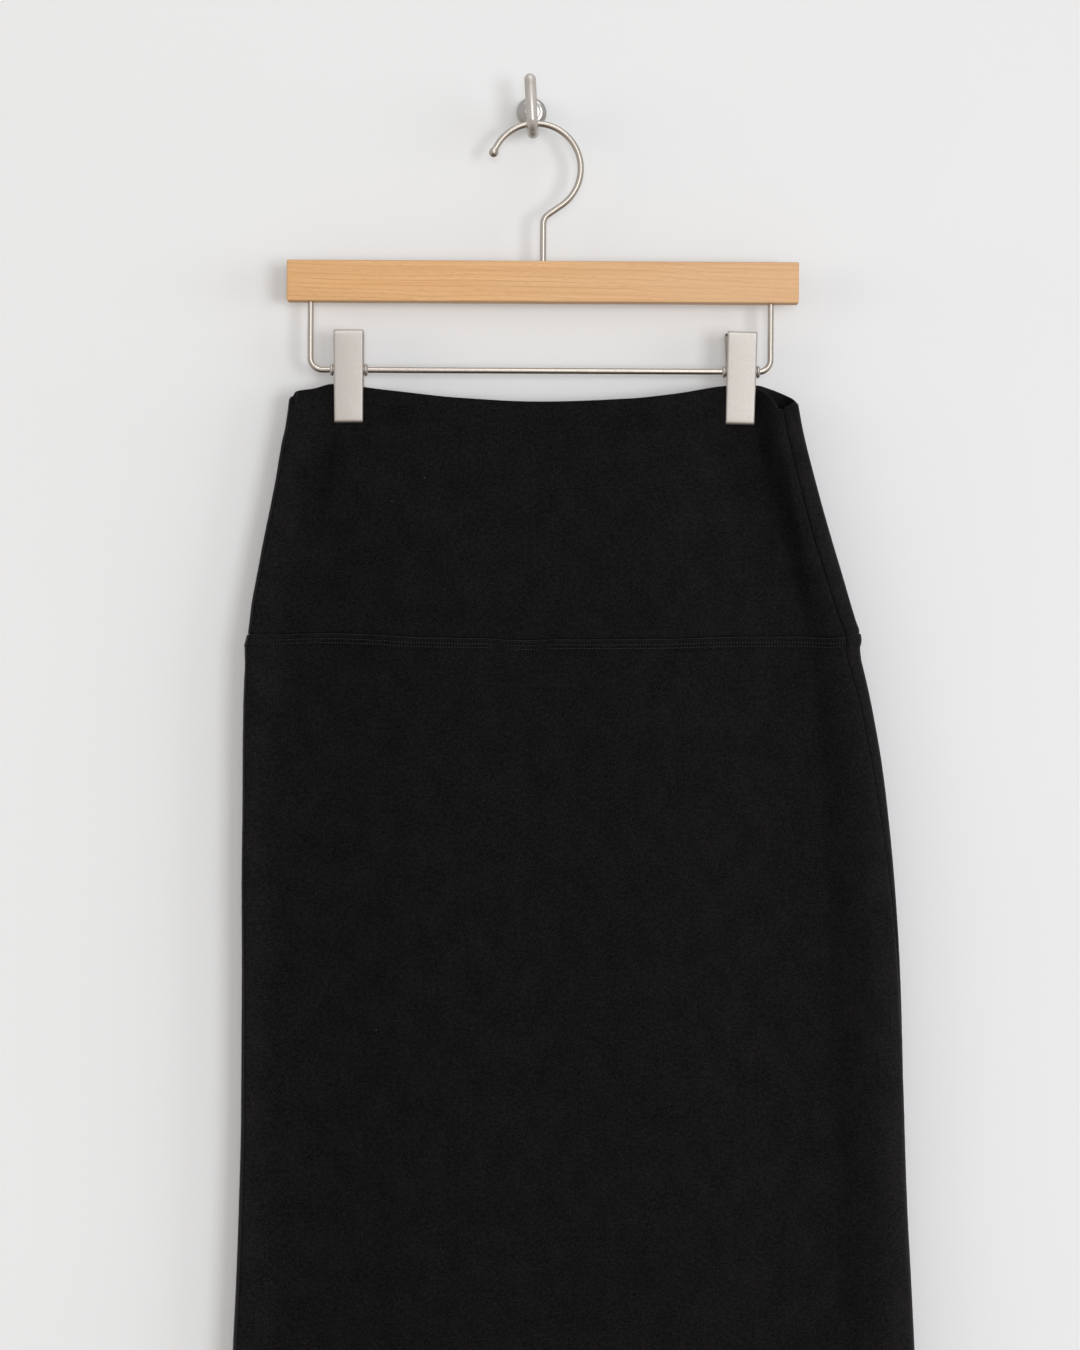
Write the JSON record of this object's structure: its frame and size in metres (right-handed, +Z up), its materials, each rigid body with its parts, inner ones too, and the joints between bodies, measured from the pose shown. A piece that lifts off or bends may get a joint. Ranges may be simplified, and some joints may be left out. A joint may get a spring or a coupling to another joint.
{
  "type": "midi skirt on a clip hanger and wall hook",
  "caption": "Plain black knit midi skirt with a high folded waistband, hung from the clips of a wooden-bar hanger on a chromed wall hook.",
  "frame": {"origin": "centre of the wall hook's flat back, on the wall", "axes": "+Z up, +Y into the wall, -Y towards the viewer, +X to the viewer's right"},
  "size_m": [0.4869, 0.0384, 1.0475],
  "materials": {
    "knit": "black double knit, matt, with a very fine rib and a faint sheen at grazing angles",
    "satin_nickel": "satin nickel plate, fine-grained and matt on the jaws, smoother on the wire",
    "spring_steel": "bright drawn spring wire",
    "wood": "pale honey softwood with fine lengthwise grain, clear satin lacquer",
    "chrome": "polished chrome"
  },
  "bodies": {
    "root": {"yoke_front": "knit", "yoke_back": "knit", "skirt_front": "knit", "skirt_back": "knit", "hanger_hook": "satin_nickel", "clip_rail": "satin_nickel", "clip_left_front_jaw": "satin_nickel", "clip_left_back_jaw": "satin_nickel", "clip_left_eyelet": "satin_nickel", "clip_right_front_jaw": "satin_nickel", "clip_right_back_jaw": "satin_nickel", "clip_right_eyelet": "satin_nickel", "clip_left_spring": "spring_steel", "clip_right_spring": "spring_steel", "hanger_bar": "wood", "wall_rosette": "chrome", "wall_hook": "chrome"}
  },
  "joints": []
}
